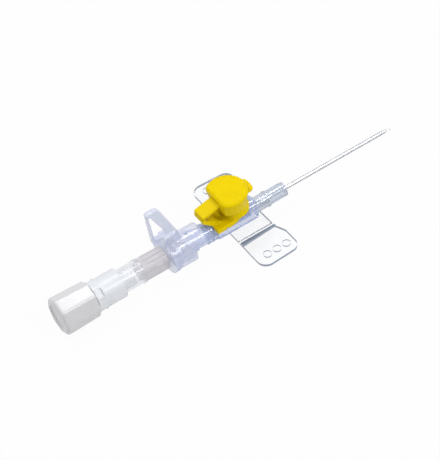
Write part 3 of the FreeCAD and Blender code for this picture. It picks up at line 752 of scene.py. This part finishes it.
class CANNULA_OT_rear_cap(bpy.types.Operator):
    """White rear cap and the thread inside it"""
    bl_idname = "cannula.rear_cap"
    bl_label = "Rear cap"

    def execute(self, context):
        looks = context.scene.cannula_plastics
        sizes = context.scene.cannula_sizes
        white = plastic("White plastic", looks.white, roughness=(0.22, 0.26), bump=0.0000006, drift=0.985)
        soften(context, "luer_cap", white, "luer_cap", sizes.soft_step, sizes.rear_cap_passes)
        rear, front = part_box("luer_cap")
        length = front.x - rear.x - sizes.thread_from - sizes.thread_margin
        grown(context, "cap_thread", thread_tree(), {
            "Start": rear.x + sizes.thread_from, "Length": length, "Turns": sizes.thread_turns,
            "Radius": sizes.thread_radius, "Thickness": sizes.thread_thickness, "Material": white,
        }, "luer_cap")
        return {"FINISHED"}


# Stage

def paler_for_the_eye(tree, shader, share):
    """Surface mixed with plain white light wherever it is only looked at."""
    path = add_node(tree, "ShaderNodeLightPath")
    seen = maths(tree, "MAXIMUM", path.outputs["Is Camera Ray"], path.outputs["Is Glossy Ray"])
    either = maths(tree, "MAXIMUM", seen, path.outputs["Is Transmission Ray"])
    glow = add_node(tree, "ShaderNodeEmission", {"Color": WHITE, "Strength": 1.0})
    mix = add_node(tree, "ShaderNodeMixShader")
    tree.links.new(maths(tree, "MULTIPLY", either, share), mix.inputs["Fac"])
    tree.links.new(shader, mix.inputs[1])
    tree.links.new(glow.outputs[0], mix.inputs[2])
    return mix.outputs[0]


def lay_ground(scene, light):
    """Pale ground at the height of the part's underside."""
    low = cad_box[0].z
    half = light.floor_half
    mesh = bpy.data.meshes.new("ground")
    corners = [(-half, -half, low), (half, -half, low), (half, half, low), (-half, half, low)]
    mesh.from_pydata(corners, [], [(0, 1, 2, 3)])
    ground = bpy.data.objects.new("ground", mesh)
    scene.collection.objects.link(ground)
    material, tree, bsdf = new_material("Pale ground")
    bsdf.inputs["Base Color"].default_value = (*light.floor, 1.0)
    bsdf.inputs["Roughness"].default_value = 0.9
    show(tree, paler_for_the_eye(tree, bsdf.outputs[0], light.floor_white))
    mesh.materials.append(material)


def open_sky(scene, light):
    """White behind the part, even light on it, and a sky that brightens upwards in its reflections."""
    world = bpy.data.worlds.new("Sky")
    scene.world = world
    world.use_nodes = True
    tree = world.node_tree
    back = tree.nodes["Background"]
    back.inputs["Color"].default_value = WHITE
    upwards = add_node(tree, "ShaderNodeSeparateXYZ")
    tree.links.new(part_place(tree, "Generated"), upwards.inputs[0])
    mirrored = ramp(tree, upwards.outputs["Z"], *SKY_SPAN, *SKY_STRENGTH)
    path = add_node(tree, "ShaderNodeLightPath")
    strength = blend(tree, path.outputs["Is Glossy Ray"], light.fill, mirrored)
    strength = blend(tree, path.outputs["Is Camera Ray"], strength, 1.0)
    tree.links.new(strength, back.inputs["Strength"])


def hang_lamps(scene, light):
    """Square lamps round the part, all turned to its middle."""
    for name, place, width, share, matt in LAMPS:
        lamp = bpy.data.lights.new(name, "AREA")
        lamp.size = width
        lamp.energy = light.key_power * share
        shown = bpy.data.objects.new(name, lamp)
        shown.location = place
        shown.rotation_mode = "QUATERNION"
        shown.rotation_quaternion = (Vector(LAMP_TARGET) - shown.location).to_track_quat("-Z", "Y")
        shown.visible_diffuse = matt
        scene.collection.objects.link(shown)


def set_camera(scene):
    """Camera that sees the part as the photo does."""
    camera = bpy.data.cameras.new("camera")
    camera.sensor_fit = "HORIZONTAL"
    camera.sensor_width = SENSOR_WIDTH
    camera.lens = FOCAL_PIXELS * SENSOR_WIDTH / PICTURE_PIXELS
    camera.clip_start = 0.02
    camera.clip_end = 20.0
    right = Vector(CAMERA_RIGHT).normalized()
    ahead = Vector(CAMERA_AHEAD).normalized()
    up = right.cross(ahead).normalized()
    right = ahead.cross(up).normalized()
    turn = Matrix((right, up, -ahead)).transposed()
    shown = bpy.data.objects.new("camera", camera)
    shown.matrix_world = Matrix.Translation(CAMERA_PLACE) @ turn.to_4x4()
    scene.collection.objects.link(shown)
    scene.camera = shown


class CANNULA_OT_stage(bpy.types.Operator):
    """Pale ground, soft lamps, sky and the camera"""
    bl_idname = "cannula.stage"
    bl_label = "Stage"

    def execute(self, context):
        scene = context.scene
        light = scene.cannula_stage
        lay_ground(scene, light)
        open_sky(scene, light)
        hang_lamps(scene, light)
        set_camera(scene)
        scene.view_settings.view_transform = "Standard"
        scene.cycles.transparent_max_bounces = 40
        scene.cycles.max_bounces = 20
        scene.cycles.transmission_bounces = 20
        return {"FINISHED"}


class CANNULA_PT_finish(bpy.types.Panel):
    """Buttons and settings of the finish"""
    bl_idname = "CANNULA_PT_finish"
    bl_label = "Cannula finish"
    bl_space_type = "VIEW_3D"
    bl_region_type = "UI"
    bl_category = "Cannula"

    def draw(self, context):
        for name in SETTINGS:
            settings = getattr(context.scene, name)
            box = self.layout.box()
            for key in settings.bl_rna.properties.keys():
                if key not in {"rna_type", "name"}:
                    box.prop(settings, key)
        for operator in OPERATORS:
            self.layout.operator(operator.bl_idname)


SETTINGS = {
    "cannula_plastics": CannulaPlastics,
    "cannula_sizes": CannulaSizes,
    "cannula_stage": CannulaStage,
}
OPERATORS = (CANNULA_OT_hub, CANNULA_OT_tube, CANNULA_OT_port_cap, CANNULA_OT_wings, CANNULA_OT_guard,
             CANNULA_OT_needle_unit, CANNULA_OT_rear_cap, CANNULA_OT_stage)
CLASSES = (*SETTINGS.values(), *OPERATORS, CANNULA_PT_finish)


def register():
    for item in CLASSES:
        bpy.utils.register_class(item)
    for name, group in SETTINGS.items():
        setattr(bpy.types.Scene, name, bpy.props.PointerProperty(type=group))


def unregister():
    for name in SETTINGS:
        delattr(bpy.types.Scene, name)
    for item in reversed(CLASSES):
        bpy.utils.unregister_class(item)


def main():
    register()
    bpy.ops.cannula.hub()
    bpy.ops.cannula.tube()
    bpy.ops.cannula.port_cap()
    bpy.ops.cannula.wings()
    bpy.ops.cannula.guard()
    bpy.ops.cannula.needle_unit()
    bpy.ops.cannula.rear_cap()
    bpy.ops.cannula.stage()


if __name__ == "__main__":
    main()
